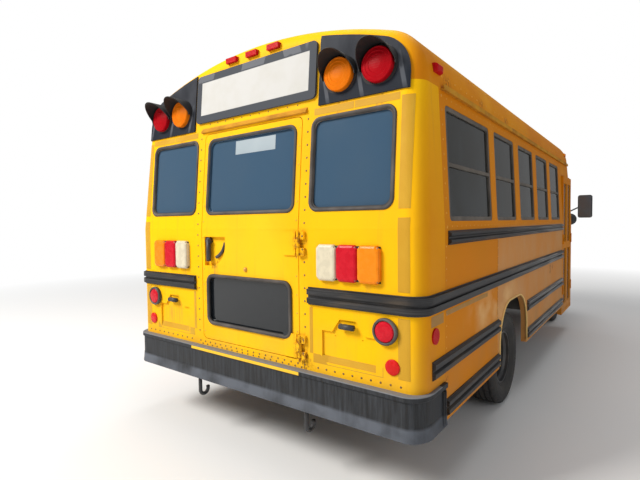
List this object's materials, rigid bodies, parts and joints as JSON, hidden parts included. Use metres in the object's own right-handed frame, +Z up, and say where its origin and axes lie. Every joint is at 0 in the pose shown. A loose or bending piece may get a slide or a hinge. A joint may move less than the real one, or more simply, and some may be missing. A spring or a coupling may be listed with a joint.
{
  "type": "short school bus",
  "caption": "Short school bus with opening doors, hood and stop arm, steered front wheels and twin rear wheels, hollow cabin with bench seats.",
  "frame": {"origin": "on the ground, on the centre line, midway between the two bumpers' ends", "axes": "+X forward, +Y to the left, +Z up"},
  "size_m": [6.228, 2.772, 2.675],
  "materials": {
    "body_paint": "gloss",
    "black_trim": "satin",
    "frame_paint": "satin",
    "wheel_paint": "satin",
    "sash": "satin",
    "glass": "gloss",
    "gasket": "matte",
    "rail_rubber": "satin",
    "steel": "rough",
    "tyre": "matte",
    "lamp": "gloss",
    "marker": "gloss",
    "head_lamp": "gloss",
    "sign_white": "satin",
    "cab_plastic": "matte",
    "grille_plastic": "matte",
    "seat_vinyl": "matte",
    "stop_red": "satin",
    "floor_cover": "matte"
  },
  "bodies": {
    "bus": {"side_wall_left": "body_paint", "side_wall_right": "body_paint", "rear_wall": "body_paint", "roof": "body_paint", "front_cap": "body_paint", "entry_portal": "body_paint", "floor": "floor_cover", "window_sashes": "sash", "body_glass": "glass", "rear_gaskets": "gasket", "rub_rails": "rail_rubber", "drip_rails": "body_paint", "rear_bumper": "black_trim", "front_bumper": "black_trim", "tow_hooks": "black_trim", "frame_rails": "frame_paint", "rear_axle": "steel", "leaf_springs": "steel", "front_axle": "steel", "drive_shaft": "steel", "fuel_tank": "frame_paint", "exhaust": "steel", "engine": "steel", "cab_shell": "body_paint", "cab_glass": "glass", "front_fenders": "body_paint", "grille": "grille_plastic", "headlamps": "head_lamp", "lamp_panels": "black_trim", "warning_lamps": "lamp", "signs": "sign_white", "tail_lamps": "lamp", "marker_lamps": "marker", "mirrors": "black_trim", "bench_seats": "seat_vinyl", "seat_frames": "frame_paint", "driver_seat": "cab_plastic", "dashboard": "cab_plastic"},
    "emergency_door_body": {"emergency_door": "body_paint", "emergency_door_glass": "glass", "emergency_door_handle": "black_trim"},
    "entry_front_body": {"entry_leaf_front": "body_paint", "entry_glass_front": "glass"},
    "entry_rear_body": {"entry_leaf_rear": "body_paint", "entry_glass_rear": "glass"},
    "driver_door_body": {"driver_door": "body_paint", "driver_door_glass": "glass"},
    "hood_body": {"hood": "body_paint"},
    "stop_arm_body": {"stop_arm": "stop_red"},
    "steer_left": {"knuckle_left": "steel"},
    "steer_right": {"knuckle_right": "steel"},
    "wheel_front_left": {"front_wheel_left": "wheel_paint", "front_tyre_left": "tyre"},
    "wheel_front_right": {"front_wheel_right": "wheel_paint", "front_tyre_right": "tyre"},
    "wheel_rear_left": {"rear_wheels_left": "wheel_paint", "rear_tyres_left": "tyre"},
    "wheel_rear_right": {"rear_wheels_right": "wheel_paint", "rear_tyres_right": "tyre"}
  },
  "joints": [
    {"name": "emergency_door_hinge", "type": "hinge", "parent": "bus", "child": "emergency_door_body", "pos_m": [-2.994, -0.456, 1.4], "axis": [0, 0, 1], "range_deg": [0, 110]},
    {"name": "entry_front_hinge", "type": "hinge", "parent": "bus", "child": "entry_front_body", "pos_m": [1.853, -1.227, 1.2], "axis": [0, 0, 1], "range_deg": [0, 90]},
    {"name": "entry_rear_hinge", "type": "hinge", "parent": "bus", "child": "entry_rear_body", "pos_m": [1.235, -1.227, 1.2], "axis": [0, 0, -1], "range_deg": [0, 90]},
    {"name": "driver_door_hinge", "type": "hinge", "parent": "bus", "child": "driver_door_body", "pos_m": [1.874, 1.017, 0.93], "axis": [0, 0, -1], "range_deg": [0, 70]},
    {"name": "hood_hinge", "type": "hinge", "parent": "bus", "child": "hood_body", "pos_m": [2.311, 0, 1.29], "axis": [0, -1, 0], "range_deg": [0, 55]},
    {"name": "stop_arm_hinge", "type": "hinge", "parent": "bus", "child": "stop_arm_body", "pos_m": [0.584, 1.265, 1.246], "axis": [0, 0, -1], "range_deg": [0, 90]},
    {"name": "steer_left_pivot", "type": "hinge", "parent": "bus", "child": "steer_left", "pos_m": [2.31, 0.77, 0.372], "axis": [0, 0, 1], "range_deg": [-35, 35]},
    {"name": "steer_right_pivot", "type": "hinge", "parent": "bus", "child": "steer_right", "pos_m": [2.31, -0.77, 0.372], "axis": [0, 0, 1], "range_deg": [-35, 35]},
    {"name": "wheel_front_left_spin", "type": "hinge", "parent": "steer_left", "child": "wheel_front_left", "pos_m": [2.31, 0.873, 0.372], "axis": [0, 1, 0], "continuous": true},
    {"name": "wheel_front_right_spin", "type": "hinge", "parent": "steer_right", "child": "wheel_front_right", "pos_m": [2.31, -0.873, 0.372], "axis": [0, 1, 0], "continuous": true},
    {"name": "wheel_rear_left_spin", "type": "hinge", "parent": "bus", "child": "wheel_rear_left", "pos_m": [-1.195, 0.9215, 0.372], "axis": [0, 1, 0], "continuous": true},
    {"name": "wheel_rear_right_spin", "type": "hinge", "parent": "bus", "child": "wheel_rear_right", "pos_m": [-1.195, -0.9215, 0.372], "axis": [0, 1, 0], "continuous": true}
  ],
  "couplings": [
    {"joint": "entry_rear_hinge", "follows": "entry_front_hinge", "ratio": 1},
    {"joint": "steer_right_pivot", "follows": "steer_left_pivot", "ratio": 1}
  ]
}
